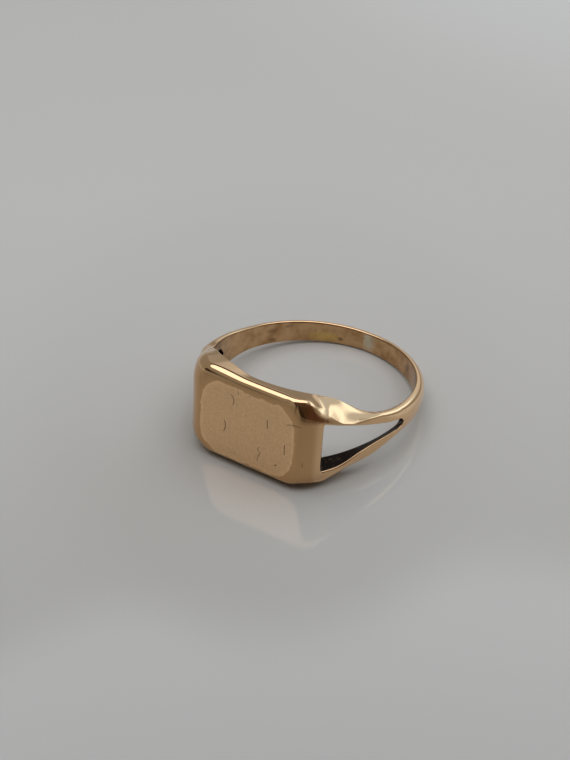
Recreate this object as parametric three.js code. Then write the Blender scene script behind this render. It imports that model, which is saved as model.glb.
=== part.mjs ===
// Signet ring with split shoulders, built as a goldsmith would: a solid head, four shoulder wires
// and a shank in three lengths, joined by solder seams. Millimetres, +Z up. The ring lies on its
// side as it rests on a table, with its face towards -Y and leaning slightly upwards.
//
// Every piece is a loft round the finger. A station is an angle in degrees from the middle of the
// face, positive towards +X, and a section is a closed outline of [radius, height] points, where
// radius is measured from the finger's axis and height runs along it.
import * as THREE from "three";

// Finger hole and shank
const INNER_RADIUS = 9.0;
const SHANK_THICKNESS = 0.84;
const SHANK_FLANK = 0.55; // flat side of the shank, before its domed outside starts
const SHANK_HALF_WIDTH = 0.95; // at the back of the hand
const SHANK_TAPER = 0.5; // gain in half width from the back to the front, without the head

// Head
const FACE_DISTANCE = 10.5; // flat face, from the finger's axis
const FACE_HALF_LENGTH = 4.6; // flat part only, round the finger
const FACE_HALF_HEIGHT = 3.4; // flat part only, along the finger
const FACE_CORNER = 2.0;
const HEAD_HALF_LENGTH = 6.5; // out to the shoulder openings
const HEAD_HALF_HEIGHT = 4.15;
const HEAD_WIDENING = 2.67; // gain in half height from the shank to the head, at the inner rim
const SIDE_DROP = 1.4; // from the flat face to the end of the short side
const EDGE_DISTANCE = 10.36; // long top and bottom edges, from the finger's axis
const HEAD_END = 35.5; // station of the short side

// Shoulders
const SHOULDER_END = 68; // station where the shoulder has thinned to the shank
const FORK = 88.6; // station where the shoulder wires meet the shank
const FORK_CROTCH_INNER = 87; // closed end of the opening, on the finger side
const FORK_CROTCH_OUTER = 82.3; // closed end of the opening, on the outside
const OPENING_HALF_INNER = 2.3; // half height of the opening beside the head
const OPENING_HALF_OUTER = 2.22;
const CROTCH_HALF_INNER = 0.8; // half height where the opening's round end starts
const CROTCH_HALF_OUTER = 0.44;
const CROTCH_LENGTH = 5; // degrees taken up by the round end
const LEFT_CROTCH_NEARER = 6; // degrees by which the left opening is shorter
const LEFT_RIM_EXTRA = 0.42; // extra half height of the left shoulder, which is fuller
const LEFT_EDGE_EXTRA = 0.16; // the same at the outer edge of the head
const EDGE_RISE = 1.05; // rise of the outer edge from the shank to the head's corner

// Hand finishing and wear. A swell is a smooth bump: its size, the angle of its middle and its
// width in degrees. A ridge drop grows from one angle to another, then fades between two more.
const UPPER_EDGE_RAISED = 0.25; // the face sits a little high on the head
const LOWER_EDGE_RAISED = 0.1;
const RIM_SWELL = { size: 0.36, at: 43, width: 12 };
const SHOULDER_SWELL = { size: 0.25, at: 62, width: 14 }; // outwards, at the outer edge
const LOWER_WIRE_SWELL = { size: 0.35, at: 62, width: 11 };
const UPPER_WIRE_DIP = { size: 0.1, at: 68, width: 16 };
const LOWER_OPENING_SWELL = { size: 0.35, at: 44, width: 8 };
const RIDGE_DROP_RIGHT = { size: 0.95, from: 27, full: 37, fading: 42, to: 68 };
const RIDGE_DROP_LEFT = { size: 0.5, from: 30, full: 42, fading: 44, to: 62 };
const PLANED_CORNER = { size: 0.15, from: 14, full: 28, fading: 40, to: 55 }; // off the border

// Roundings of the outer edge, above and below
const HEAD_EDGE_ROUND = { above: 0.6, below: 0.6 };
const CORNER_EDGE_ROUND_RIGHT = { above: 0.2, below: 0.75 };
const CORNER_EDGE_ROUND_LEFT = { above: 0.6, below: 1.25 };
const SHOULDER_EDGE_ROUND = { above: 0.35, below: 0.6 };
const SHANK_EDGE_ROUND = 0.35;
const RIM_ROUND = 0.17; // rounding of the two inner rims
const MOST_OF_BORDER = 0.85; // share of the outside that the edge's rounding may take up
const MOST_OF_FLANK = 0.74; // share of the flank that it may take up
const RIM_SHARE = 0.24; // share of the flank that the rim's rounding may take up
const ARC_HANDLE = 0.5523; // length of a cubic curve's handles that draws a quarter circle

// Seams
const SEAM_WIDTH = 0.12;
const SEAM_GAP = 0.02; // clearance on each side of a seam
const SIZING_FROM = 177; // the length let in when the ring was made larger
const SIZING_TO = 205;

// Mesh
const RIM_STEPS = 2;
const EDGE_STEPS = 5;
const DOME_STEPS = 10;
const WIRE_STEPS = 6;
const DEGREES_PER_STEP = 3.2;

const toRadians = THREE.MathUtils.degToRad;
const toDegrees = THREE.MathUtils.radToDeg;
const { lerp, clamp, smoothstep } = THREE.MathUtils;

// A place round the ring: its angle from the middle of the face, 0 to 180, whether it is on the
// left, and whether the half above (1) or below (-1) mid height is meant.
function placeAt(station, side) {
  const turned = Math.abs(station);
  return {
    angle: turned > 180 ? 360 - turned : turned,
    left: station < 0 || station > 180,
    side,
  };
}

// Smaller of two values, rounded over where they cross.
function softMin(a, b, softness) {
  const blend = clamp(0.5 + (b - a) / (2 * softness), 0, 1);
  return lerp(b, a, blend) - softness * blend * (1 - blend);
}

// Height of a smooth bump.
function swell(angle, { size, at, width }) {
  return size * Math.exp(-(((angle - at) / width) ** 2));
}

// Height of a bump with slopes of different lengths.
function plateau(angle, { size, from, full, fading, to }) {
  return size * (smoothstep(angle, from, full) - smoothstep(angle, fading, to));
}

// Extra half height on the left, from 0 to 1. Above, it starts at the middle of the head; below,
// it starts past the head, so that the ring still lies flat on its lower rim.
function fullness({ angle, left, side }) {
  if (!left) return 0;
  const start = side > 0 ? smoothstep(angle, 0, 22) : smoothstep(angle, 38, 60);
  return start * (1 - smoothstep(angle, 66, 112));
}

// Half height of the ring at its inner rim: an S-shaped widening from the shank to the head.
function rimHalf(place) {
  const shank = SHANK_HALF_WIDTH + SHANK_TAPER * (1 - place.angle / 180);
  const head = HEAD_WIDENING / (1 + Math.exp((place.angle - 47.9) / 8.9));
  return shank + head + swell(place.angle, RIM_SWELL) + LEFT_RIM_EXTRA * fullness(place);
}

// What wear adds to the half height at the outer edge. Above, the edge runs down beside the head.
function edgeWear({ angle, left, side }) {
  if (side < 0) {
    const lowered = LOWER_EDGE_RAISED * (1 - smoothstep(angle, 25, 45));
    return swell(angle, LOWER_WIRE_SWELL) - lowered;
  }
  const raised = UPPER_EDGE_RAISED * (1 - smoothstep(angle, 20, 36));
  const drop = plateau(angle, left ? RIDGE_DROP_LEFT : RIDGE_DROP_RIGHT);
  return raised - swell(angle, UPPER_WIRE_DIP) - drop;
}

// Half height at the outer edge: straight along the head, then falling away past its corner.
function edgeHalf(place) {
  const pastCorner = 0.8 * Math.log(1 + Math.exp((place.angle - 37) / 0.8));
  const shank = SHANK_HALF_WIDTH + 0.03 + 0.1 * (1 - place.angle / 180);
  const head = (HEAD_HALF_HEIGHT - SHANK_HALF_WIDTH - 0.13) * Math.exp(-pastCorner / 22);
  const extra = lerp(LEFT_EDGE_EXTRA, LEFT_RIM_EXTRA, smoothstep(place.angle, 20, 60));
  return shank + head + edgeWear(place) + extra * fullness(place);
}

// Radius of the outside at mid height: flat face, curved short side, straight shoulder, shank.
function crestRadius({ angle }) {
  const flatEnd = toDegrees(Math.atan2(FACE_HALF_LENGTH, FACE_DISTANCE));
  if (angle <= flatEnd) return FACE_DISTANCE / Math.cos(toRadians(angle));
  const shank = INNER_RADIUS + SHANK_THICKNESS;
  if (angle >= SHOULDER_END) return shank;
  if (angle > HEAD_END) {
    const remaining = (SHOULDER_END - angle) / (SHOULDER_END - HEAD_END);
    return shank + (crestRadius({ angle: HEAD_END }) - shank) * remaining ** 1.6;
  }
  // Where the ray at this angle meets the parabola of the short side.
  const bend = SIDE_DROP / (HEAD_HALF_LENGTH - FACE_HALF_LENGTH) ** 2;
  const b = 1 / Math.tan(toRadians(angle)) - 2 * FACE_HALF_LENGTH * bend;
  const c = FACE_HALF_LENGTH ** 2 * bend - FACE_DISTANCE;
  const x = (Math.sqrt(b * b - 4 * bend * c) - b) / (2 * bend);
  return x / Math.sin(toRadians(angle));
}

// Radius where the outside turns over into the flat flank.
function edgeRadius({ angle }) {
  const remaining = Math.max(0, (SHOULDER_END - angle) / (SHOULDER_END - HEAD_END));
  const rise = EDGE_RISE * remaining ** 1.5 + swell(angle, SHOULDER_SWELL);
  const head = EDGE_DISTANCE / Math.cos(toRadians(Math.min(angle, SHOULDER_END)));
  return softMin(head, INNER_RADIUS + SHANK_FLANK + rise, 0.35);
}

// Half height of the opening between the shoulder wires; zero from its closed end onwards.
function openingHalf(place, atHead, atCrotch, closedAt) {
  const closed = closedAt - (place.left ? LEFT_CROTCH_NEARER : 0);
  if (place.angle >= closed) return 0;
  const crotch = closed - CROTCH_LENGTH;
  if (place.angle > crotch) {
    return atCrotch * Math.sqrt(1 - ((place.angle - crotch) / CROTCH_LENGTH) ** 2);
  }
  return atCrotch + (atHead - atCrotch) * ((crotch - place.angle) / (crotch - HEAD_END)) ** 1.28;
}
const innerOpening = (place) =>
  openingHalf(place, OPENING_HALF_INNER, CROTCH_HALF_INNER, FORK_CROTCH_INNER);
const openingExtra = ({ angle, side }) => (side < 0 ? swell(angle, LOWER_OPENING_SWELL) : 0);
const outerOpening = (place) => openingExtra(place)
  + openingHalf(place, OPENING_HALF_OUTER, CROTCH_HALF_OUTER, FORK_CROTCH_OUTER);

// Half height up to which the outside keeps its crest radius.
function crestHalf(place) {
  if (place.angle > HEAD_END) return outerOpening(place);
  const x = crestRadius(place) * Math.sin(toRadians(place.angle));
  const intoCorner = (x - FACE_HALF_LENGTH + FACE_CORNER) / FACE_CORNER;
  if (intoCorner <= 0) return FACE_HALF_HEIGHT;
  const atEnd = OPENING_HALF_OUTER + openingExtra(place);
  return lerp(atEnd, FACE_HALF_HEIGHT, Math.sqrt(Math.max(0, 1 - intoCorner ** 2)));
}

// Radius of the outside at a height, from the crest down to the edge. The border falls away
// evenly, but it is flatter at the upper corners.
function outerRadius(place, height) {
  const flat = crestHalf(place);
  const down = clamp((height - flat) / (edgeHalf(place) - flat), 0, 1);
  const power = 2 - (place.side > 0 ? plateau(place.angle, PLANED_CORNER) : 0);
  return lerp(crestRadius(place), edgeRadius(place), down ** power);
}

// Size of the outer edge's rounding: crisp along the face, soft at its corners.
function edgeRounding({ angle, left, side }) {
  const level = side > 0 ? "above" : "below";
  const corner = left ? CORNER_EDGE_ROUND_LEFT : CORNER_EDGE_ROUND_RIGHT;
  const head = lerp(HEAD_EDGE_ROUND[level], corner[level], smoothstep(angle, 18, 30));
  const shoulder = lerp(head, SHOULDER_EDGE_ROUND[level], smoothstep(angle, 34, 46));
  return lerp(shoulder, SHANK_EDGE_ROUND, smoothstep(angle, 76, 110));
}

// Points of a near circular arc that cuts a corner, starting and ending at given distances.
function roundedCorner(before, corner, after, beforeSize, afterSize, steps) {
  const start = before.clone().sub(corner).setLength(beforeSize).add(corner);
  const end = after.clone().sub(corner).setLength(afterSize).add(corner);
  const nearStart = start.clone().lerp(corner, ARC_HANDLE);
  const nearEnd = end.clone().lerp(corner, ARC_HANDLE);
  return new THREE.CubicBezierCurve(start, nearStart, nearEnd, end).getPoints(steps);
}

// Half an outline, from the inner rim over the flank and the edge to a lowest height. Heights are
// given the sign of the place's side.
function halfOutline(place, lowest, steps) {
  const rim = new THREE.Vector2(INNER_RADIUS, rimHalf(place));
  const edge = new THREE.Vector2(edgeRadius(place), edgeHalf(place));
  const flank = rim.distanceTo(edge);
  const rounding = Math.min(edgeRounding(place), MOST_OF_BORDER * (edge.y - lowest));
  const start = edge.y - rounding;
  const border = new THREE.Vector2(outerRadius(place, start), start);
  const bore = new THREE.Vector2(INNER_RADIUS, lowest);
  const rimSize = Math.min(RIM_ROUND, RIM_SHARE * flank);
  const edgeSize = Math.min(rounding, MOST_OF_FLANK * flank);
  const outline = [
    ...roundedCorner(bore, rim, edge, RIM_ROUND, rimSize, RIM_STEPS),
    ...roundedCorner(rim, edge, border, edgeSize, border.distanceTo(edge), EDGE_STEPS),
  ];
  for (let i = 1; i <= steps; i += 1) {
    const height = lerp(start, lowest, i / steps);
    outline.push(new THREE.Vector2(outerRadius(place, height), height));
  }
  outline.forEach((point) => point.setY(point.y * place.side));
  return outline;
}

// Whole section of the head or the shank.
function bandSection(station) {
  const upper = halfOutline(placeAt(station, 1), 0, DOME_STEPS);
  const lower = halfOutline(placeAt(station, -1), 0, DOME_STEPS);
  return [...upper, ...lower.slice(0, -1).reverse()];
}

// Section of a shoulder wire: half the band, closed by the wall of the opening. The wires touch
// past the crotch, so each stops a hair short of mid height. Both are listed clockwise.
function wireSection(station, side) {
  const place = placeAt(station, side);
  const inner = Math.max(innerOpening(place), SEAM_GAP / 2);
  const outer = Math.max(outerOpening(place), SEAM_GAP / 2);
  const outline = [
    new THREE.Vector2(INNER_RADIUS, inner * side),
    ...halfOutline(place, outer, WIRE_STEPS),
  ];
  return side > 0 ? outline : outline.reverse();
}
const upperWire = (station) => wireSection(station, 1);
const lowerWire = (station) => wireSection(station, -1);

// Closed solid through the clockwise sections from one station to another.
function loft(sectionAt, from, to) {
  const count = Math.max(1, Math.ceil((to - from) / DEGREES_PER_STEP));
  const stations = Array.from({ length: count + 1 }, (_, i) => lerp(from, to, i / count));
  const sections = stations.map(sectionAt);
  const points = stations.flatMap((station, i) => {
    const turn = toRadians(station);
    return sections[i].map((point) =>
      new THREE.Vector3(point.x * Math.sin(turn), -point.x * Math.cos(turn), point.y));
  });
  const size = sections[0].length;
  const index = [];
  for (let i = 0; i < count; i += 1) {
    for (let j = 0; j < size; j += 1) {
      const here = i * size + j;
      const next = i * size + ((j + 1) % size);
      index.push(here, next, here + size);
      index.push(next, next + size, here + size);
    }
  }
  const last = count * size;
  for (const [a, b, c] of THREE.ShapeUtils.triangulateShape(sections[0], [])) {
    index.push(a, b, c);
  }
  for (const [a, b, c] of THREE.ShapeUtils.triangulateShape(sections[count], [])) {
    index.push(last + a, last + c, last + b);
  }
  const solid = new THREE.BufferGeometry().setFromPoints(points);
  solid.setIndex(index);
  solid.computeVertexNormals();
  return solid;
}

const gold = new THREE.MeshStandardMaterial({ color: 0xc89a66, roughness: 0.22, metalness: 1 });
const solder = new THREE.MeshStandardMaterial({ color: 0xcfc09a, roughness: 0.35, metalness: 1 });

const ring = new THREE.Group();
function piece(name, material, geometry) {
  const mesh = new THREE.Mesh(geometry, material);
  mesh.name = name;
  ring.add(mesh);
}

// Degrees that a length takes up round the finger, at the radius of the shank's middle.
const span = (length) => toDegrees(length / (INNER_RADIUS + SHANK_THICKNESS / 2));
const seam = span(SEAM_WIDTH);
const gap = span(SEAM_GAP);
const cut = seam / 2 + gap; // from the middle of a seam to the piece beside it

const rootSeam = [HEAD_END + gap, HEAD_END + gap + seam];
const wire = [HEAD_END + 2 * gap + seam, FORK - cut];
piece("signet_head", gold, loft(bandSection, -HEAD_END, HEAD_END));
for (const [level, section] of [["upper", upperWire], ["lower", lowerWire]]) {
  piece(`head_solder_${level}_right`, solder, loft(section, rootSeam[0], rootSeam[1]));
  piece(`head_solder_${level}_left`, solder, loft(section, -rootSeam[1], -rootSeam[0]));
  piece(`shoulder_wire_${level}_right`, gold, loft(section, wire[0], wire[1]));
  piece(`shoulder_wire_${level}_left`, gold, loft(section, -wire[1], -wire[0]));
}
for (const [name, middle] of [
  ["fork_solder_right", FORK],
  ["fork_solder_left", 360 - FORK],
  ["sizing_solder_right", SIZING_FROM],
  ["sizing_solder_left", SIZING_TO],
]) {
  piece(name, solder, loft(bandSection, middle - seam / 2, middle + seam / 2));
}
piece("shank_right", gold, loft(bandSection, FORK + cut, SIZING_FROM - cut));
piece("sizing_insert", gold, loft(bandSection, SIZING_FROM + cut, SIZING_TO - cut));
piece("shank_left", gold, loft(bandSection, SIZING_TO + cut, 360 - FORK - cut));

// The ring lies on the head's lower rim and on the lower edge of the back of the shank.
const front = placeAt(0, -1);
const back = placeAt(180, -1);
const lean = Math.atan2(rimHalf(front) - edgeHalf(back), INNER_RADIUS + edgeRadius(back));
ring.rotation.x = -lean;

// The part's origin is the middle of the bottom of its box.
const group = new THREE.Group();
group.add(ring);
const box = new THREE.Box3().setFromObject(group, true);
const middle = box.getCenter(new THREE.Vector3());
ring.position.set(-middle.x, -middle.y, -box.min.z);

export default group;
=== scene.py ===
"""Signet ring with split shoulders, lying on its side on a glossy pale table.

The shape is the CAD part's, made again with finer sections, rounded edges and exact surface
normals. Shape values are in millimetres and degrees, in the ring's own frame: the finger runs
along Z, the face looks along -Y, and a station is an angle round the finger from the middle of
the face, positive towards +X. Blender's own values are in metres.
"""
import math

import bpy
import numpy as np
from mathutils import Matrix, Vector


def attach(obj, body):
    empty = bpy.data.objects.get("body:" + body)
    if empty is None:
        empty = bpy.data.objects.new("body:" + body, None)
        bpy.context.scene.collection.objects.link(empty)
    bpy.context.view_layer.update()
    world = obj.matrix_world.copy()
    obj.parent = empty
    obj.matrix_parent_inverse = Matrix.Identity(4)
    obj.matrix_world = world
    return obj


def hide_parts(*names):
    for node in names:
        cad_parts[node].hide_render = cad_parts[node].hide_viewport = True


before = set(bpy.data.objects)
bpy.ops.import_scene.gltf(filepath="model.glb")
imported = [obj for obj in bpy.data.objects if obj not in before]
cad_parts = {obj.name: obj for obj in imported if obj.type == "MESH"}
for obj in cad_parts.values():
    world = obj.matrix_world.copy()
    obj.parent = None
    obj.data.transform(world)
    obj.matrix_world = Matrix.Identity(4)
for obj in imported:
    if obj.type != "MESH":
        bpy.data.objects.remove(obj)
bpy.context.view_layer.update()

MM = 0.001

# Finger hole and shank
INNER_RADIUS = 9.0
SHANK_THICKNESS = 0.84
SHANK_FLANK = 0.55
SHANK_HALF_WIDTH = 0.95
SHANK_TAPER = 0.5
EDGE_PAST_RIM = 0.03
EDGE_TAPER = 0.1

# Head
FACE_DISTANCE = 10.5
FACE_HALF_LENGTH = 4.6
FACE_HALF_HEIGHT = 3.4
FACE_CORNER = 2.0
HEAD_HALF_LENGTH = 6.5
HEAD_HALF_HEIGHT = 4.15
HEAD_WIDENING = 2.67
HEAD_WIDENING_MIDDLE = 47.9
HEAD_WIDENING_SPREAD = 8.9
SIDE_DROP = 1.4
EDGE_DISTANCE = 10.36
HEAD_END = 35.5
HEAD_CORNER = 37
HEAD_CORNER_SOFTNESS = 0.8
EDGE_FALL = 22  # degrees in which the outer edge falls to about a third

# Shoulders
SHOULDER_END = 68
SHOULDER_POWER = 1.6
FORK = 88.6
FORK_CROTCH_INNER = 87
FORK_CROTCH_OUTER = 82.3
OPENING_HALF_INNER = 2.3
OPENING_HALF_OUTER = 2.22
CROTCH_HALF_INNER = 0.8
CROTCH_HALF_OUTER = 0.44
CROTCH_LENGTH = 5
LEFT_CROTCH_NEARER = 6
OPENING_POWER = 1.28
LEFT_RIM_EXTRA = 0.42
LEFT_EDGE_EXTRA = 0.16
LEFT_STARTS_ABOVE = (0, 22)
LEFT_STARTS_BELOW = (38, 60)
LEFT_ENDS = (66, 112)
LEFT_EDGE_BLEND = (20, 60)
EDGE_RISE = 1.05
EDGE_RISE_POWER = 1.5
EDGE_SOFTNESS = 0.35

# Seams
SEAM_WIDTH = 0.12
SEAM_GAP = 0.02
SIZING_FROM = 177
SIZING_TO = 205

# Hand finishing and wear: the face sits a little high on the head, its upper edge runs down
# into the shoulders, the shoulders swell beside the head, and the lower wires are thicker than
# the upper ones. A swell is its size, the angle of its middle and its width in degrees; a ridge
# drop is its size, the angles between which it grows and those between which it fades.
UPPER_EDGE_RAISED = 0.25
UPPER_RAISED_ENDS = (20, 36)
LOWER_EDGE_RAISED = 0.1
LOWER_RAISED_ENDS = (25, 45)
RIM_SWELL = (0.36, 43, 12)
SHOULDER_SWELL = (0.25, 62, 14)
LOWER_WIRE_SWELL = (0.35, 62, 11)
UPPER_WIRE_DIP = (0.1, 68, 16)
LOWER_OPENING_SWELL = (0.35, 44, 8)
RIDGE_DROP_RIGHT = (0.95, (27, 37), (42, 68))
RIDGE_DROP_LEFT = (0.5, (30, 42), (44, 62))
PLANED_CORNER = (0.15, (14, 28), (40, 55))

# Roundings: the radius of the outer edge, above and below, and where one leads to the next
RIM_ROUND = 0.17
HEAD_EDGE_ROUND = {1: 0.6, -1: 0.6}
CORNER_EDGE_ROUND_RIGHT = {1: 0.2, -1: 0.75}
CORNER_EDGE_ROUND_LEFT = {1: 0.6, -1: 1.25}
SHOULDER_EDGE_ROUND = {1: 0.35, -1: 0.6}
SHANK_EDGE_ROUND = 0.35
HEAD_TO_CORNER = (18, 30)
CORNER_TO_SHOULDER = (34, 46)
SHOULDER_TO_SHANK = (76, 110)
MOST_OF_BORDER = 0.85  # share of the outside that the edge's rounding may take up
MOST_OF_FLANK = 0.74  # share of the flank that it may take up
RIM_SHARE = 0.24  # share of the flank that the rim's rounding may take up
ARC_HANDLE = 0.5523  # length of a cubic curve's handles that draws a quarter circle
OPENING_ROUND = 0.16
OPENING_FILLET = 0.22  # inner corners of the opening, beside the head
TIGHTEST = 0.012  # rounding where the wires touch
OPEN_ENOUGH = 0.3  # half height of an opening that has its full rounding
HEAD_WALL_ROUND = 0.12  # edge of the head over the opening
HEAD_WALL_FADE = 0.2  # height over which that rounding fades out

# Mesh density
CORNER_STEPS = 8
EDGE_STEPS = 16
BORE_STEPS = 10
FLANK_STEPS = 5
DOME_STEPS = 18
WALL_STEPS = 6
STATION_STEP = 0.75
FINE_STEP = 0.12
FINE_LENGTH = 1.8  # degrees at a piece's end that need the fine step
TANGENT_STEP = 0.01
LEAST_FLAT = 0.15  # share of the outside's height that keeps its own rows of points
LEAST_BORDER = 0.05


# ---------------------------------------------------------------- shape of the ring

class Place:
    """A place round the ring: angle from the middle of the face, left or not, above or below."""

    def __init__(self, station, side):
        turned = abs(station)
        self.angle = 360 - turned if turned > 180 else turned
        self.left = station < 0 or station > 180
        self.side = side


def lerp(a, b, t):
    return a + (b - a) * t


def smoothstep(x, low, high):
    t = min(max((x - low) / (high - low), 0), 1)
    return t * t * (3 - 2 * t)


def soft_min(a, b, softness):
    blend = min(max(0.5 + (b - a) / (2 * softness), 0), 1)
    return lerp(b, a, blend) - softness * blend * (1 - blend)


def swell(angle, bump):
    """Height of a smooth bump."""
    size, middle, width = bump
    return size * math.exp(-((angle - middle) / width) ** 2)


def plateau(angle, bump):
    """Height of a bump whose two slopes have their own lengths."""
    size, growing, fading = bump
    return size * (smoothstep(angle, *growing) - smoothstep(angle, *fading))


def fullness(place):
    """Extra half height on the left, from 0 to 1."""
    if not place.left:
        return 0
    starts = LEFT_STARTS_ABOVE if place.side > 0 else LEFT_STARTS_BELOW
    return smoothstep(place.angle, *starts) * (1 - smoothstep(place.angle, *LEFT_ENDS))


def rim_half(place):
    """Half height at the inner rim."""
    shank = SHANK_HALF_WIDTH + SHANK_TAPER * (1 - place.angle / 180)
    from_middle = (place.angle - HEAD_WIDENING_MIDDLE) / HEAD_WIDENING_SPREAD
    head = HEAD_WIDENING / (1 + math.exp(from_middle))
    swelling = swell(place.angle, RIM_SWELL)
    return shank + head + swelling + LEFT_RIM_EXTRA * fullness(place)


def edge_wear(place):
    """What finishing and wear add to the half height at the outer edge."""
    angle = place.angle
    if place.side < 0:
        lowered = LOWER_EDGE_RAISED * (1 - smoothstep(angle, *LOWER_RAISED_ENDS))
        return swell(angle, LOWER_WIRE_SWELL) - lowered
    raised = UPPER_EDGE_RAISED * (1 - smoothstep(angle, *UPPER_RAISED_ENDS))
    drop = plateau(angle, RIDGE_DROP_LEFT if place.left else RIDGE_DROP_RIGHT)
    return raised - (swell(angle, UPPER_WIRE_DIP) + drop)


def edge_half(place):
    """Half height at the outer edge."""
    from_corner = (place.angle - HEAD_CORNER) / HEAD_CORNER_SOFTNESS
    past_corner = HEAD_CORNER_SOFTNESS * math.log(1 + math.exp(from_corner))
    shank = SHANK_HALF_WIDTH + EDGE_PAST_RIM + EDGE_TAPER * (1 - place.angle / 180)
    widening = HEAD_HALF_HEIGHT - SHANK_HALF_WIDTH - (EDGE_PAST_RIM + EDGE_TAPER)
    head = widening * math.exp(-past_corner / EDGE_FALL)
    extra = lerp(LEFT_EDGE_EXTRA, LEFT_RIM_EXTRA, smoothstep(place.angle, *LEFT_EDGE_BLEND))
    return shank + head + edge_wear(place) + extra * fullness(place)


def short_side_radius(angle):
    """Where the ray at this angle meets the parabola of the head's short side."""
    bend = SIDE_DROP / (HEAD_HALF_LENGTH - FACE_HALF_LENGTH) ** 2
    b = 1 / math.tan(math.radians(angle)) - 2 * FACE_HALF_LENGTH * bend
    c = FACE_HALF_LENGTH ** 2 * bend - FACE_DISTANCE
    x = (math.sqrt(b * b - 4 * bend * c) - b) / (2 * bend)
    return x / math.sin(math.radians(angle))


def crest_radius(place):
    """Radius of the outside at mid height."""
    angle = place.angle
    shank = INNER_RADIUS + SHANK_THICKNESS
    if angle >= SHOULDER_END:
        return shank
    if angle > HEAD_END:
        remaining = (SHOULDER_END - angle) / (SHOULDER_END - HEAD_END)
        return shank + (short_side_radius(HEAD_END) - shank) * remaining ** SHOULDER_POWER
    if angle <= math.degrees(math.atan2(FACE_HALF_LENGTH, FACE_DISTANCE)):
        return FACE_DISTANCE / math.cos(math.radians(angle))
    return short_side_radius(angle)


def edge_radius(place):
    """Radius where the outside turns over into the flat flank."""
    remaining = max(0, (SHOULDER_END - place.angle) / (SHOULDER_END - HEAD_END))
    shoulder = INNER_RADIUS + SHANK_FLANK + EDGE_RISE * remaining ** EDGE_RISE_POWER
    shoulder += swell(place.angle, SHOULDER_SWELL)
    head = EDGE_DISTANCE / math.cos(math.radians(min(place.angle, SHOULDER_END)))
    return soft_min(head, shoulder, EDGE_SOFTNESS)


def opening_half(place, at_head, at_crotch, closed_at):
    """Half height of the opening between the shoulder wires; zero from its closed end on."""
    closed = closed_at - (LEFT_CROTCH_NEARER if place.left else 0)
    if place.angle >= closed:
        return 0
    crotch = closed - CROTCH_LENGTH
    if place.angle > crotch:
        return at_crotch * math.sqrt(1 - ((place.angle - crotch) / CROTCH_LENGTH) ** 2)
    remaining = (crotch - place.angle) / (crotch - HEAD_END)
    return at_crotch + (at_head - at_crotch) * remaining ** OPENING_POWER


def inner_opening(place):
    return opening_half(place, OPENING_HALF_INNER, CROTCH_HALF_INNER, FORK_CROTCH_INNER)


def opening_extra(place):
    """The opening is a little wider below, beside the head."""
    return swell(place.angle, LOWER_OPENING_SWELL) if place.side < 0 else 0


def outer_opening(place):
    opening = opening_half(place, OPENING_HALF_OUTER, CROTCH_HALF_OUTER, FORK_CROTCH_OUTER)
    return opening + opening_extra(place)


def crest_half(place):
    """Half height up to which the outside keeps its crest radius."""
    if place.angle > HEAD_END:
        return outer_opening(place)
    x = crest_radius(place) * math.sin(math.radians(place.angle))
    into_corner = (x - FACE_HALF_LENGTH + FACE_CORNER) / FACE_CORNER
    if into_corner <= 0:
        return FACE_HALF_HEIGHT
    at_end = OPENING_HALF_OUTER + opening_extra(place)
    return at_end + (FACE_HALF_HEIGHT - at_end) * math.sqrt(max(0, 1 - into_corner ** 2))


def edge_rounding(place):
    """Size of the outer edge's rounding, which changes round the ring."""
    angle, side = place.angle, place.side
    corner = CORNER_EDGE_ROUND_LEFT if place.left else CORNER_EDGE_ROUND_RIGHT
    rounding = lerp(HEAD_EDGE_ROUND[side], corner[side], smoothstep(angle, *HEAD_TO_CORNER))
    rounding = lerp(rounding, SHOULDER_EDGE_ROUND[side], smoothstep(angle, *CORNER_TO_SHOULDER))
    return lerp(rounding, SHANK_EDGE_ROUND, smoothstep(angle, *SHOULDER_TO_SHANK))


def rounded_corner(before, corner, after, before_size, after_size, steps=CORNER_STEPS):
    """Points of a near circular arc that cuts the corner between two lines."""
    start = corner + (before - corner) * (before_size / np.linalg.norm(before - corner))
    end = corner + (after - corner) * (after_size / np.linalg.norm(after - corner))
    near_start = lerp(start, corner, ARC_HANDLE)
    near_end = lerp(end, corner, ARC_HANDLE)
    t = np.linspace(0, 1, steps + 1)[:, None]
    return ((1 - t) ** 3 * start + 3 * t * (1 - t) ** 2 * near_start
            + 3 * t ** 2 * (1 - t) * near_end + t ** 3 * end)


def straight(start, end, steps):
    """Points between two ends, which are left out."""
    t = np.linspace(0, 1, steps + 1)[1:-1, None]
    return start + (end - start) * t


def border_power(place):
    """2 where the border curves evenly; a little less at the flatter upper corners."""
    return 2 - (plateau(place.angle, PLANED_CORNER) if place.side > 0 else 0)


def dome(place, high, low, steps):
    """Points of the outside from one height down to another."""
    heights = np.linspace(high, low, steps + 1)
    crest, edge = crest_radius(place), edge_radius(place)
    flat = crest_half(place)
    down = np.clip((heights - flat) / (edge_half(place) - flat), 0, 1)
    return np.stack([lerp(crest, edge, down ** border_power(place)), heights], axis=1)


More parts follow.
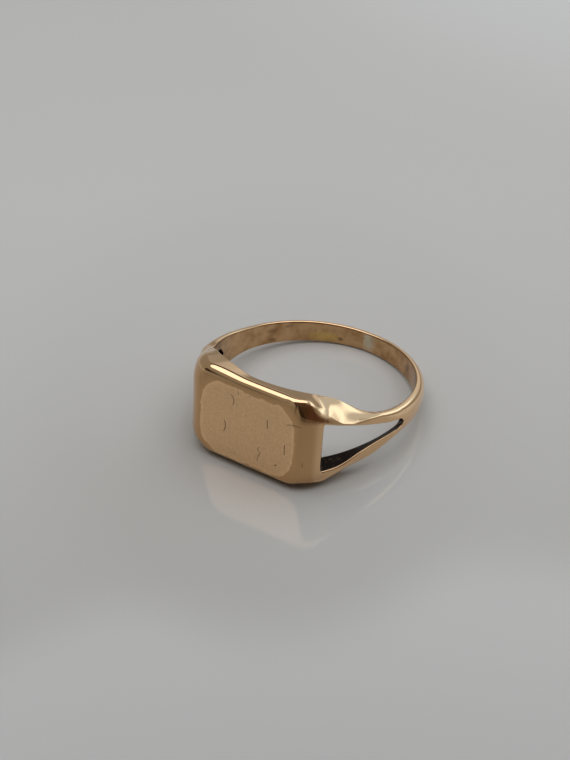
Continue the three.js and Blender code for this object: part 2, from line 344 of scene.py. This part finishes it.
def upper_outline(place, lowest_inner, lowest_outer):
    """From the bore over rim, flank and edge down the outside, as if it were all above."""
    rim = np.array([INNER_RADIUS, rim_half(place)])
    edge = np.array([edge_radius(place), edge_half(place)])
    flank_length = np.linalg.norm(edge - rim)
    rounding = min(edge_rounding(place), MOST_OF_BORDER * (edge[1] - lowest_outer))
    start = edge[1] - rounding
    over_edge_end = dome(place, start, start, 0)[0]
    bore_low = np.array([INNER_RADIUS, lowest_inner])
    rim_size = min(RIM_ROUND, RIM_SHARE * flank_length)
    edge_size = min(rounding, MOST_OF_FLANK * flank_length)
    over_rim = rounded_corner(bore_low, rim, edge, RIM_ROUND, rim_size)
    over_edge = rounded_corner(rim, edge, over_edge_end, edge_size,
                               np.linalg.norm(over_edge_end - edge), EDGE_STEPS)
    lowest_border = lerp(lowest_outer, start, LEAST_FLAT)
    border_end = max(min(crest_half(place), start - LEAST_BORDER), lowest_border)
    border = dome(place, start, border_end, DOME_STEPS)[1:]
    parts = [bore_low[None], straight(bore_low, over_rim[0], BORE_STEPS), over_rim,
             straight(over_rim[-1], over_edge[0], FLANK_STEPS), over_edge, border]
    return parts, border_end


def head_wall_drop(station, heights):
    """How far the head's edge is rounded down over the opening, beside its end."""
    distance = math.radians(HEAD_END - abs(station)) * (INNER_RADIUS + 2)
    if distance >= HEAD_WALL_ROUND or distance < -HEAD_WALL_ROUND:
        return np.zeros_like(heights)
    into = 1 - max(distance, 0) / HEAD_WALL_ROUND
    inside = OPENING_HALF_OUTER - OPENING_FILLET - np.abs(heights)
    inside = np.clip(inside / HEAD_WALL_FADE, 0, 1)
    return HEAD_WALL_ROUND * (1 - math.sqrt(max(1 - into ** 2, 0))) * inside


def band_half(station, side):
    place = Place(station, side)
    parts, border_end = upper_outline(place, 0, 0)
    parts.append(dome(place, border_end, 0, DOME_STEPS)[1:])
    outline = np.concatenate(parts)
    outline[:, 1] *= side
    return outline


def band_section(station):
    """Whole section of the head or the shank: [radius, height, painted wall shade] rows, clockwise.
    """
    upper = band_half(station, 1)
    lower = band_half(station, -1)
    outline = np.concatenate([upper, lower[1:-1][::-1]])
    outside = outline[:, 0] > (INNER_RADIUS + crest_radius(Place(station, 1))) / 2
    outline[:, 0] -= np.where(outside, head_wall_drop(station, outline[:, 1]), 0)
    return np.column_stack([outline, np.zeros(len(outline))])


def corner_fillet(place):
    """How far the opening is narrowed beside the head, where its corners are rounded."""
    distance = math.radians(place.angle - HEAD_END) * (INNER_RADIUS + 1)
    if distance >= OPENING_FILLET:
        return 0
    across = OPENING_FILLET - max(distance, 0)
    return OPENING_FILLET - math.sqrt(OPENING_FILLET ** 2 - across ** 2)


def wire_section(station, side):
    """Section of a shoulder wire: half the band, closed by the wall of the opening."""
    place = Place(station, side)
    least = SEAM_GAP / 4
    narrowed = corner_fillet(place)
    inner = max(inner_opening(place) - narrowed, least)
    outer = max(outer_opening(place) - narrowed, least)
    parts, border_end = upper_outline(place, inner + OPENING_ROUND, outer + OPENING_ROUND)
    bore_start = parts[0][0]
    wall_outer = dome(place, outer, outer, 0)[0]
    wall_inner = np.array([INNER_RADIUS, inner])
    rounding = max(OPENING_ROUND * smoothstep(outer, 0, OPEN_ENOUGH), TIGHTEST)
    inner_rounding = max(OPENING_ROUND * smoothstep(inner, 0, OPEN_ENOUGH), TIGHTEST)
    outside_low = dome(place, border_end, outer + rounding, 2)[1:]
    over_outer = rounded_corner(outside_low[-1], wall_outer, wall_inner, rounding, rounding)
    over_inner = rounded_corner(wall_outer, wall_inner, bore_start, inner_rounding, inner_rounding)
    wall = straight(over_outer[-1], over_inner[0], WALL_STEPS)
    over_inner = over_inner[:-1]  # the bore starts where it ends
    outline = np.concatenate([*parts, outside_low, over_outer[1:], wall, over_inner])
    # The wall of the opening gets painted shade, fading in over its outer rounding and out over its
    # inner one.
    wall_shade = np.zeros(len(outline))
    first_wall = len(outline) - len(over_inner) - len(wall) - len(over_outer) + 1
    fade = np.linspace(0, 1, len(over_outer))[1:] ** 2
    wall_shade[first_wall:first_wall + len(fade)] = fade
    wall_shade[first_wall + len(fade):] = 1
    wall_shade[-len(over_inner):] = np.linspace(1, 0, len(over_inner))
    outline[:, 1] *= side
    if side < 0:
        outline, wall_shade = outline[::-1], wall_shade[::-1]
    return np.column_stack([outline, wall_shade])


# ---------------------------------------------------------------- meshes

front, back = Place(0, -1), Place(180, -1)
LEAN = math.atan2(rim_half(front) - edge_half(back), INNER_RADIUS + edge_radius(back))


def stations_between(start, end):
    """Stations with finer steps near both ends."""
    count = max(1, math.ceil((end - start) / STATION_STEP))
    stations = set(np.round(np.linspace(start, end, count + 1), 6))
    if end - start > 2 * FINE_LENGTH:
        fine = np.arange(0, FINE_LENGTH, FINE_STEP)
        stations |= set(np.round(start + fine, 6)) | set(np.round(end - fine, 6))
    return sorted(stations)


def on_ring(station, section):
    turn = math.radians(station)
    radius, height = section[:, 0], section[:, 1]
    return np.column_stack([radius * math.sin(turn), -radius * math.cos(turn), height])


def loft(name, section_at, start, end):
    """Closed mesh through the sections, with the surface's own normals."""
    stations = stations_between(start, end)
    points, normals, wall_shade = [], [], []
    for station in stations:
        section = section_at(station)
        here = on_ring(station, section)
        ahead = on_ring(station + TANGENT_STEP, section_at(station + TANGENT_STEP))
        behind = on_ring(station - TANGENT_STEP, section_at(station - TANGENT_STEP))
        around = np.roll(here, -1, axis=0) - np.roll(here, 1, axis=0)
        normal = np.cross(around, ahead - behind)
        normals.append(normal / np.linalg.norm(normal, axis=1)[:, None])
        points.append(here)
        wall_shade.append(section[:, 2])
    size = len(points[0])
    last = (len(stations) - 1) * size
    faces = [list(range(size))[::-1], [last + j for j in range(size)]]
    for i in range(len(stations) - 1):
        for j in range(size):
            here, following = i * size + j, i * size + (j + 1) % size
            faces.append([here, following, following + size, here + size])
    mesh = bpy.data.meshes.new(name)
    mesh.from_pydata(np.concatenate(points).tolist(), [], faces)
    flat_normals = np.concatenate(normals)
    flat_wall_shade = np.concatenate(wall_shade)
    corners = np.array([v for face in faces for v in face])
    loop_normals = flat_normals[corners]
    loop_wall_shade = flat_wall_shade[corners]
    for cap, (station, facing) in enumerate([(start, -1), (end, 1)]):
        turn = math.radians(station)
        along = np.array([math.cos(turn), math.sin(turn), 0]) * facing
        loop_normals[cap * size:(cap + 1) * size] = along
        loop_wall_shade[cap * size:(cap + 1) * size] = 1
    # Share of painted shade at each corner: the walls of the openings and the hidden caps.
    attribute = mesh.attributes.new("wall_shade", "FLOAT", "CORNER")
    attribute.data.foreach_set("value", loop_wall_shade.astype(np.float32))
    mesh.polygons.foreach_set("use_smooth", [True] * len(mesh.polygons))
    mesh.normals_split_custom_set(loop_normals.tolist())
    mesh.update()
    return mesh


def span(length):
    """Degrees that a length takes up round the finger, at the middle of the shank."""
    return math.degrees(length / (INNER_RADIUS + SHANK_THICKNESS / 2))


def upper_wire(station):
    return wire_section(station, 1)


def lower_wire(station):
    return wire_section(station, -1)


seam = span(SEAM_WIDTH + 2 * SEAM_GAP)  # the CAD part's clearances are filled with solder
pieces = [("signet_head", "gold", band_section, -HEAD_END, HEAD_END)]
for level, section_at in (("upper", upper_wire), ("lower", lower_wire)):
    root, tip = HEAD_END + seam, FORK - seam / 2
    pieces += [
        (f"head_solder_{level}_right", "solder", section_at, HEAD_END, root),
        (f"head_solder_{level}_left", "solder", section_at, -root, -HEAD_END),
        (f"shoulder_wire_{level}_right", "gold", section_at, root, tip),
        (f"shoulder_wire_{level}_left", "gold", section_at, -tip, -root),
    ]
for seam_name, middle in (
    ("fork_solder_right", FORK), ("fork_solder_left", 360 - FORK),
    ("sizing_solder_right", SIZING_FROM), ("sizing_solder_left", SIZING_TO),
):
    pieces.append((seam_name, "solder", band_section, middle - seam / 2, middle + seam / 2))
pieces += [
    ("shank_right", "gold", band_section, FORK + seam / 2, SIZING_FROM - seam / 2),
    ("sizing_insert", "gold", band_section, SIZING_FROM + seam / 2, SIZING_TO - seam / 2),
    ("shank_left", "gold", band_section, SIZING_TO + seam / 2, 360 - FORK - seam / 2),
]

meshes = {name: loft(name + "_surface", section_at, start, end)
          for name, _, section_at, start, end in pieces}

# The ring leans until it lies on the head's lower rim and the back of the shank, and its box
# stands on the middle of the bottom of the CAD part's box.
lean_matrix = Matrix.Rotation(-LEAN, 4, "X")
leaned = np.concatenate([
    np.array([lean_matrix @ v.co for v in mesh.vertices]) for mesh in meshes.values()])
low, high = leaned.min(axis=0), leaned.max(axis=0)
ring_centre = Vector((-(low[0] + high[0]) / 2, -(low[1] + high[1]) / 2, -low[2]))
ring_to_part = Matrix.Scale(MM, 4) @ Matrix.Translation(ring_centre) @ lean_matrix


# ---------------------------------------------------------------- node helpers

class Graph:
    """Short calls that add nodes to a tree. Inputs are numbers, tuples or sockets."""

    def __init__(self, tree):
        self.tree = tree
        tree.nodes.clear()

    def node(self, kind, *inputs, **settings):
        made = self.tree.nodes.new(kind)
        for key, value in settings.items():
            setattr(made, key, value)
        for socket, value in zip(made.inputs, inputs):
            self.feed(socket, value)
        return made

    def feed(self, socket, value):
        if value is None:
            return
        if isinstance(value, bpy.types.NodeSocket):
            self.tree.links.new(value, socket)
        else:
            socket.default_value = value

    def math(self, operation, *inputs, clamp=False):
        return self.node("ShaderNodeMath", *inputs, operation=operation, use_clamp=clamp).outputs[0]

    def vector(self, operation, *inputs):
        made = self.node("ShaderNodeVectorMath", *inputs, operation=operation)
        scalar = operation in ("DOT_PRODUCT", "LENGTH", "DISTANCE")
        return made.outputs["Value" if scalar else "Vector"]

    def fade(self, value, low, high, at_low=0.0, at_high=1.0):
        """Smooth step from at_low to at_high while value goes from low to high."""
        return self.node("ShaderNodeMapRange", value, low, high, at_low, at_high,
                         interpolation_type="SMOOTHSTEP").outputs[0]

    def noise(self, where, scale, detail=2.0, roughness=0.5, distortion=0.0):
        made = self.node("ShaderNodeTexNoise")
        for name, value in (("Vector", where), ("Scale", scale), ("Detail", detail),
                            ("Roughness", roughness), ("Distortion", distortion)):
            self.feed(made.inputs[name], value)
        return made.outputs["Fac"]

    def mix(self, factor, a, b):
        made = self.node("ShaderNodeMix", data_type="RGBA")
        self.feed(made.inputs["Factor"], factor)
        self.feed(made.inputs[6], a)
        self.feed(made.inputs[7], b)
        return made.outputs[2]

    def split(self, where):
        return self.node("ShaderNodeSeparateXYZ", where).outputs

    def join(self, x, y, z):
        return self.node("ShaderNodeCombineXYZ", x, y, z).outputs[0]


def linear(red, green, blue):
    """Colour given as 0 to 255 sRGB, as the linear RGBA that nodes use."""
    def channel(value):
        share = value / 255
        return share / 12.92 if share <= 0.04045 else ((share + 0.055) / 1.055) ** 2.4
    return (channel(red), channel(green), channel(blue), 1)


# ---------------------------------------------------------------- materials

GOLD = linear(230, 190, 145)
SOLDER = linear(228, 192, 150)
# Dark brown: painted shade on the walls of the openings, and the colour of the scratches in the
# face.
DARK_SHADE_AND_SCRATCHES = linear(36, 28, 24)
BROWN_FILM = linear(172, 132, 90)  # in the bore
BORDER_SHADE = linear(198, 156, 110)  # painted shade on the border of the face
SMUDGE = linear(112, 84, 62)
YELLOW_PATCH = linear(206, 176, 92)
SILVERY_PATCH = linear(206, 204, 182)
PALE_GREY = linear(189, 187, 179)  # the table
CARD_BROWN = (0.24, 0.16, 0.12, 1)
TABLE_ROUGHNESS = (0.07, 0.09)

# Smudges and patches in the bore: station, height, half length, half height, colour, strength.
BORE_MARKS = [
    (-122, 0.27, 0.6, 0.3, SMUDGE, 0.7),
    (-122, -0.7, 0.5, 0.25, SMUDGE, 0.6),
    (-133, 0.6, 0.4, 0.2, SMUDGE, 0.5),
    (-155, -0.36, 1.7, 0.5, YELLOW_PATCH, 0.7),
    (-165, -0.43, 0.3, 0.2, SMUDGE, 0.8),
    (140, 0.08, 0.35, 0.5, SMUDGE, 0.6),
    (177, 0.1, 0.8, 1.1, SILVERY_PATCH, 0.7),
]

# Scratches in the face: middle (x, z), turn from upright, half length, bend sideways, strength.
SCRATCHES = [
    (-1.53, 2.24, -12, 0.52, 0.22, 0.9),
    (-0.92, 3.16, -15, 0.18, 0.0, 0.5),
    (-2.24, -0.52, 2, 0.6, 0.19, 1.0),
    (2.05, 1.25, -5, 0.48, 0.0, 0.9),
    (4.48, 1.98, 80, 0.7, -0.14, 0.6),
    (3.8, -0.5, -2, 0.51, 0.0, 1.0),
    (1.3, -1.35, 30, 0.18, 0.0, 0.6),
    (1.37, -1.62, -50, 0.2, 0.0, 0.6),
    (1.39, -2.0, 29, 0.28, 0.0, 0.7),
    (1.26, -2.47, 0, 0.23, 0.0, 0.6),
    (3.04, -2.31, 60, 0.14, 0.0, 0.9),
    (5.42, -1.46, -10, 0.21, 0.0, 0.5),
    (0.22, 3.16, 40, 0.06, 0.0, 0.7),
    (-0.04, 1.29, 0, 0.06, 0.0, 0.7),
]
SCRATCH_HALF_WIDTH = 0.065
SCRATCH_DEPTH = 0.012

# Polish: roughness of the two metals, and what each condition adds to it
GOLD_POLISH = 0.05
SOLDER_POLISH = 0.07
SMEARS_ADD = 0.06
FACE_ADDS = 0.16
BORE_ADDS = 0.08
OPENING_WALL_ADDS = 0.3

# Unevenness of the metal, in millimetres
WAVES = 0.004
SPECKLE = 0.0016
STREAKS = 0.0008
SHOULDER_STREAKS = 0.005

# Where the finishes end, in millimetres and degrees
BORE_FADE = (9.08, 9.02)
FRONT_FADE = (-9.0, -9.6)
BORDER_TOP_FADE = (3.95, 3.7)
BORDER_SIDE_FADE = (6.4, 5.9)
FACE_WOBBLE = 0.12
FACE_BLUR = 0.06
# Band just inside the matt face's edge that is lightened as a painted highlight
FACE_RIM_HIGHLIGHT = (0.45, 0.1)
SHOULDER_STARTS = (24.0, 36.0)
SHOULDER_FADES = (110.0, 90.0)


def new_material(name):
    material = bpy.data.materials.new(name)
    material.use_nodes = True
    return material, Graph(material.node_tree)


def ring_coordinates(g):
    """Place on the ring, in millimetres in the ring's own frame."""
    place = g.node("ShaderNodeTexCoord").outputs["Object"]
    mapping = g.node("ShaderNodeMapping")
    offset = -(Matrix.Rotation(LEAN, 3, "X") @ ring_centre)
    g.feed(mapping.inputs["Vector"], place)
    mapping.inputs["Location"].default_value = offset
    mapping.inputs["Rotation"].default_value = (LEAN, 0, 0)
    mapping.inputs["Scale"].default_value = (1 / MM,) * 3
    return mapping.outputs[0]


def mark(g, unrolled, station, height, half_length, half_height):
    """1 on a soft spot of the bore, 0 away from it."""
    middle = (math.radians(station) * INNER_RADIUS, 0.0, height)
    away = g.vector("SUBTRACT", unrolled, middle)
    away = g.vector("MULTIPLY", away, (1 / half_length, 0.0, 1 / half_height))
    return g.fade(g.vector("LENGTH", away), 1.3, 0.4)


def scratch(g, where, x, z, turn, half_length, bend):
    """1 along a fine, slightly bent line in the face, 0 away from it."""
    angle = math.radians(turn)
    along = (math.sin(angle), 0.0, math.cos(angle))
    across = (math.cos(angle), 0.0, -math.sin(angle))
    away = g.vector("SUBTRACT", where, (x, 0.0, z))
    u = g.math("DIVIDE", g.vector("DOT_PRODUCT", away, along), half_length)
    bow = g.math("MULTIPLY", g.math("SUBTRACT", 1.0, g.math("MULTIPLY", u, u)), bend)
    beside = g.math("SUBTRACT", g.vector("DOT_PRODUCT", away, across), bow)
    line = g.fade(g.math("ABSOLUTE", beside), SCRATCH_HALF_WIDTH, SCRATCH_HALF_WIDTH * 0.2)
    return g.math("MULTIPLY", line, g.fade(g.math("ABSOLUTE", u), 1.1, 0.7))


def metal(name, base_colour, polish, scratches=()):
    """Worn gold or solder: film in the bore, painted shade on the face's border, a matt face with a
    painted highlight just inside its edge, and painted shade on the walls of the openings.
    """
    material, g = new_material(name)
    where = ring_coordinates(g)
    x, y, z = g.split(where)
    radius = g.math("SQRT", g.math("ADD", g.math("MULTIPLY", x, x), g.math("MULTIPLY", y, y)))
    station = g.math("ARCTAN2", x, g.math("MULTIPLY", y, -1.0))
    along = g.math("MULTIPLY", station, INNER_RADIUS)
    unrolled = g.join(along, radius, z)

    in_bore = g.fade(radius, *BORE_FADE)
    turned = g.math("DEGREES", g.math("ABSOLUTE", station))
    beyond_x = g.math("MAXIMUM", g.math("SUBTRACT", g.math("ABSOLUTE", x),
                                        FACE_HALF_LENGTH - FACE_CORNER), 0.0)
    beyond_z = g.math("MAXIMUM", g.math("SUBTRACT", g.math("ABSOLUTE", z),
                                        FACE_HALF_HEIGHT - FACE_CORNER), 0.0)
    from_core = g.vector("LENGTH", g.join(beyond_x, beyond_z, 0.0))
    wobble = g.fade(g.noise(where, 0.9, 2.0), 0.3, 0.7, -FACE_WOBBLE, FACE_WOBBLE)
    from_core = g.math("ADD", from_core, wobble)
    front = g.fade(y, *FRONT_FADE)
    face = g.fade(from_core, FACE_CORNER + FACE_BLUR, FACE_CORNER - FACE_BLUR)
    face = g.math("MULTIPLY", face, front)
    below_edge = g.fade(z, *BORDER_TOP_FADE)
    shaded_border = g.math("MULTIPLY", below_edge, g.fade(g.math("ABSOLUTE", x), *BORDER_SIDE_FADE))
    shaded_border = g.math("MULTIPLY", shaded_border, front)
    border = g.math("SUBTRACT", shaded_border, face, clamp=True)
    # Painted highlight: a lighter ring just inside the edge of the matt face.
    face_rim_highlight = g.fade(from_core, *(FACE_CORNER - inside for inside in FACE_RIM_HIGHLIGHT))
    face_rim_highlight = g.math("MULTIPLY", face, face_rim_highlight)
    shoulder = g.math("MULTIPLY", g.fade(turned, *SHOULDER_STARTS),
                      g.fade(turned, *SHOULDER_FADES))
    outside = g.math("SUBTRACT", 1.0, in_bore)

    # Colour
    film_patches = g.noise(unrolled, 0.9, 4.0, 0.6)
    film = g.math("MULTIPLY", in_bore, g.fade(film_patches, 0.35, 0.7, 0.5, 1.0))
    colour = g.mix(film, base_colour, BROWN_FILM)
    for station_of_mark, height_of_mark, length, tall, tint, strength in BORE_MARKS:
        spot = mark(g, unrolled, station_of_mark, height_of_mark, length, tall)
        blotch = g.fade(g.noise(unrolled, 2.5, 3.0), 0.3, 0.6, 0.5 * strength, strength)
        spot = g.math("MULTIPLY", g.math("MULTIPLY", spot, in_bore), blotch)
        colour = g.mix(spot, colour, tint)
    # Painted shade: the face's border is darkened, fading out near the upper edge and past the
    # short sides.
    colour = g.mix(g.math("MULTIPLY", border, 0.85), colour, BORDER_SHADE)
    mottle = g.fade(g.noise(where, 4.5, 4.0, 0.7), 0.3, 0.7, 0.98, 1.16)
    mottle = g.math("MULTIPLY", mottle, g.fade(face_rim_highlight, 0.0, 1.0, 1.0, 1.08))
    mottled = g.vector("SCALE", colour, None, None, mottle)
    colour = g.mix(face, colour, mottled)
    # Painted shade on the walls of the openings, read from the mesh's per corner attribute.
    wall_shade = g.node("ShaderNodeAttribute", attribute_name="wall_shade").outputs["Fac"]
    dark = g.math("MULTIPLY", wall_shade, g.fade(g.noise(where, 2.2, 3.0), 0.2, 0.5, 0.9, 1.0))
    colour = g.mix(dark, colour, DARK_SHADE_AND_SCRATCHES)

    # Roughness
    smears = g.noise(where, 0.8, 3.0, 0.6)
    rough = g.fade(smears, 0.3, 0.75, polish, polish + SMEARS_ADD)
    rough = g.math("ADD", rough, g.math("MULTIPLY", face, FACE_ADDS))
    rough = g.math("ADD", rough, g.math("MULTIPLY", in_bore, BORE_ADDS))
    rough = g.math("ADD", rough, g.math("MULTIPLY", wall_shade, OPENING_WALL_ADDS), clamp=True)

    # Height, in millimetres
    waves = g.math("MULTIPLY", g.noise(where, 0.7, 1.0), WAVES)
    speckle = g.math("MULTIPLY", g.noise(where, 9.0, 3.0, 0.6), SPECKLE)
    speckle = g.math("MULTIPLY", speckle, g.fade(face, 0.0, 1.0, 0.2, 1.0))
    height = g.math("ADD", waves, speckle)
    combed = g.vector("MULTIPLY", unrolled, (0.35, 9.0, 9.0))
    streaks = g.math("MULTIPLY", g.noise(combed, 1.0, 3.0, 0.6), outside)
    depth = g.fade(shoulder, 0.0, 1.0, STREAKS, SHOULDER_STREAKS)
    streaks = g.math("MULTIPLY", streaks, depth)
    height = g.math("ADD", height, streaks)
    for x_middle, z_middle, turn, half_length, bend, strength in scratches:
        line = g.math("MULTIPLY", scratch(g, where, x_middle, z_middle, turn, half_length, bend),
                      g.math("MULTIPLY", front, strength))
        colour = g.mix(g.math("MULTIPLY", line, 0.85), colour, DARK_SHADE_AND_SCRATCHES)
        height = g.math("SUBTRACT", height, g.math("MULTIPLY", line, SCRATCH_DEPTH))
    bump = g.node("ShaderNodeBump")
    bump.inputs["Strength"].default_value = 1.0
    bump.inputs["Distance"].default_value = MM
    g.feed(bump.inputs["Height"], height)

    shader = g.node("ShaderNodeBsdfPrincipled")
    shader.inputs["Metallic"].default_value = 1.0
    g.feed(shader.inputs["Base Color"], colour)
    g.feed(shader.inputs["Roughness"], rough)
    g.feed(shader.inputs["Normal"], bump.outputs[0])
    g.node("ShaderNodeOutputMaterial", shader.outputs[0])
    return material


def table_material():
    """Smooth pale laminate with the faintest unevenness in its gloss."""
    material, g = new_material("pale_table")
    where = g.node("ShaderNodeTexCoord").outputs["Object"]
    rough = g.fade(g.noise(where, 60.0, 3.0), 0.3, 0.7, *TABLE_ROUGHNESS)
    shader = g.node("ShaderNodeBsdfPrincipled")
    shader.inputs["Base Color"].default_value = PALE_GREY
    g.feed(shader.inputs["Roughness"], rough)
    g.node("ShaderNodeOutputMaterial", shader.outputs[0])
    return material


finishes = {"gold": metal("rose_gold", GOLD, GOLD_POLISH, SCRATCHES),
            "solder": metal("gold_solder", SOLDER, SOLDER_POLISH)}

for name, slot, _, _, _ in pieces:
    mesh = meshes[name]
    mesh.transform(ring_to_part)
    mesh.materials.append(finishes[slot])
    piece = bpy.data.objects.new(name + "_surface", mesh)
    bpy.context.scene.collection.objects.link(piece)
    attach(piece, "root")
    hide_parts(name)


# ---------------------------------------------------------------- table, light and camera

def direction(azimuth, elevation):
    """Unit vector towards a place in the surroundings; azimuth 0 is in front, 90 on the right."""
    a, e = math.radians(azimuth), math.radians(elevation)
    return Vector((math.sin(a) * math.cos(e), -math.cos(a) * math.cos(e), math.sin(e)))


def sheet(name, half_width, half_height, depth, material):
    """Flat rectangle, not attached to the ring."""
    mesh = bpy.data.meshes.new(name)
    corners = [(-1, -1), (1, -1), (1, 1), (-1, 1)]
    mesh.from_pydata([(half_width * x, half_height * y, depth) for x, y in corners],
                     [], [(0, 1, 2, 3)])
    mesh.materials.append(material)
    made = bpy.data.objects.new(name, mesh)
    bpy.context.scene.collection.objects.link(made)
    return made


TABLE_HALF = 0.7
sheet("table", TABLE_HALF, TABLE_HALF, 0, table_material())

# Soft studio surroundings. Each patch has the azimuth and elevation of its middle, its half
# sizes, its softness as a share of them, and its light; a later patch covers an earlier one.
SURROUNDINGS = [
    ((216, 40), (16, 11), 0.2, (0.08, 0.07, 0.06)),
    ((-45, 10), (17, 15), 0.3, (0.035, 0.028, 0.022)),
    ((42, 8), (29, 22), 0.3, (0.035, 0.028, 0.022)),
    ((66, 12), (30, 18), 0.25, (0.1, 0.06, 0.045)),
    ((188, 15), (24, 9), 0.5, (0.7, 0.75, 0.8)),
    ((152, 30), (36, 19), 0.3, (0.62, 0.74, 0.88)),
    ((142, 21), (32, 6), 0.5, (1.5, 1.8, 2.1)),
]
ROOM = (0.28, 0.275, 0.255)
DIFFUSER = (1.85, 1.88, 2.05)
DIFFUSER_MIDDLE = (160, 86)
DIFFUSER_RADIUS = 40
DIFFUSER_EDGE = 2  # degrees, half the width of its soft rim
BACKGROUND = linear(186, 186, 184)


def studio_world():
    """Room, round diffuser overhead and patches; an even pale grey where the camera sees it."""
    world = bpy.data.worlds.new("studio")
    world.use_nodes = True
    g = Graph(world.node_tree)
    towards = g.node("ShaderNodeTexCoord").outputs["Generated"]
    x, y, z = g.split(towards)
    azimuth = g.math("DEGREES", g.math("ARCTAN2", x, g.math("MULTIPLY", y, -1.0)))
    elevation = g.math("DEGREES", g.math("ARCSINE", z))
    inside = g.vector("DOT_PRODUCT", towards, direction(*DIFFUSER_MIDDLE))
    outer = math.cos(math.radians(DIFFUSER_RADIUS + DIFFUSER_EDGE))
    inner = math.cos(math.radians(DIFFUSER_RADIUS - DIFFUSER_EDGE))
    light = g.mix(g.fade(inside, outer, inner), (*ROOM, 1), (*DIFFUSER, 1))
    for (middle_azimuth, middle_elevation), (wide, tall), softness, colour in SURROUNDINGS:
        across = g.math("WRAP", g.math("SUBTRACT", azimuth, middle_azimuth), -180.0, 180.0)
        up = g.math("SUBTRACT", elevation, middle_elevation)
        away = g.vector("LENGTH", g.join(g.math("DIVIDE", across, wide),
                                         g.math("DIVIDE", up, tall), 0.0))
        light = g.mix(g.fade(away, 1 + softness, 1 - softness), light, (*colour, 1))
    seen = g.mix(g.node("ShaderNodeLightPath").outputs["Is Camera Ray"], light, BACKGROUND)
    background = g.node("ShaderNodeBackground", seen)
    g.node("ShaderNodeOutputWorld", background.outputs[0])
    return world


bpy.context.scene.world = studio_world()
bpy.context.scene.view_settings.view_transform = "Standard"

CAMERA_AZIMUTH = 34.831
CAMERA_ELEVATION = 38.207
CAMERA_ROLL = -2.459
CAMERA_DISTANCE = 97.913
CAMERA_AIM = (-2.077, -0.860, 2.511)
CAMERA_LENS = 52.1
SENSOR_WIDTH = 36
CLIP_START = 0.01

camera = bpy.data.objects.new("camera", bpy.data.cameras.new("camera"))
bpy.context.scene.collection.objects.link(camera)
camera.data.lens = CAMERA_LENS
camera.data.sensor_width = SENSOR_WIDTH
camera.data.clip_start = CLIP_START
backwards = direction(CAMERA_AZIMUTH, CAMERA_ELEVATION)
camera.location = (Vector(CAMERA_AIM) + backwards * CAMERA_DISTANCE) * MM
facing = backwards.to_track_quat("Z", "Y")
camera.rotation_euler = (facing.to_matrix() @ Matrix.Rotation(
    math.radians(CAMERA_ROLL), 3, "Z")).to_euler()
bpy.context.scene.camera = camera

# A dark card round the camera, as a photographer holds one: it shades the near side of the
# table and gives the polished corners something dark to mirror.
FLAG_HALF_WIDTH = 0.06
FLAG_HALF_HEIGHT = 0.055
FLAG_BEHIND_CAMERA = 0.004
flag_material, g = new_material("dark_card")
cloth = g.node("ShaderNodeBsdfDiffuse", CARD_BROWN)
g.node("ShaderNodeOutputMaterial", cloth.outputs[0])
flag = sheet("flag", FLAG_HALF_WIDTH, FLAG_HALF_HEIGHT, FLAG_BEHIND_CAMERA, flag_material)
flag.location = camera.location
flag.rotation_euler = camera.rotation_euler
flag.visible_camera = False
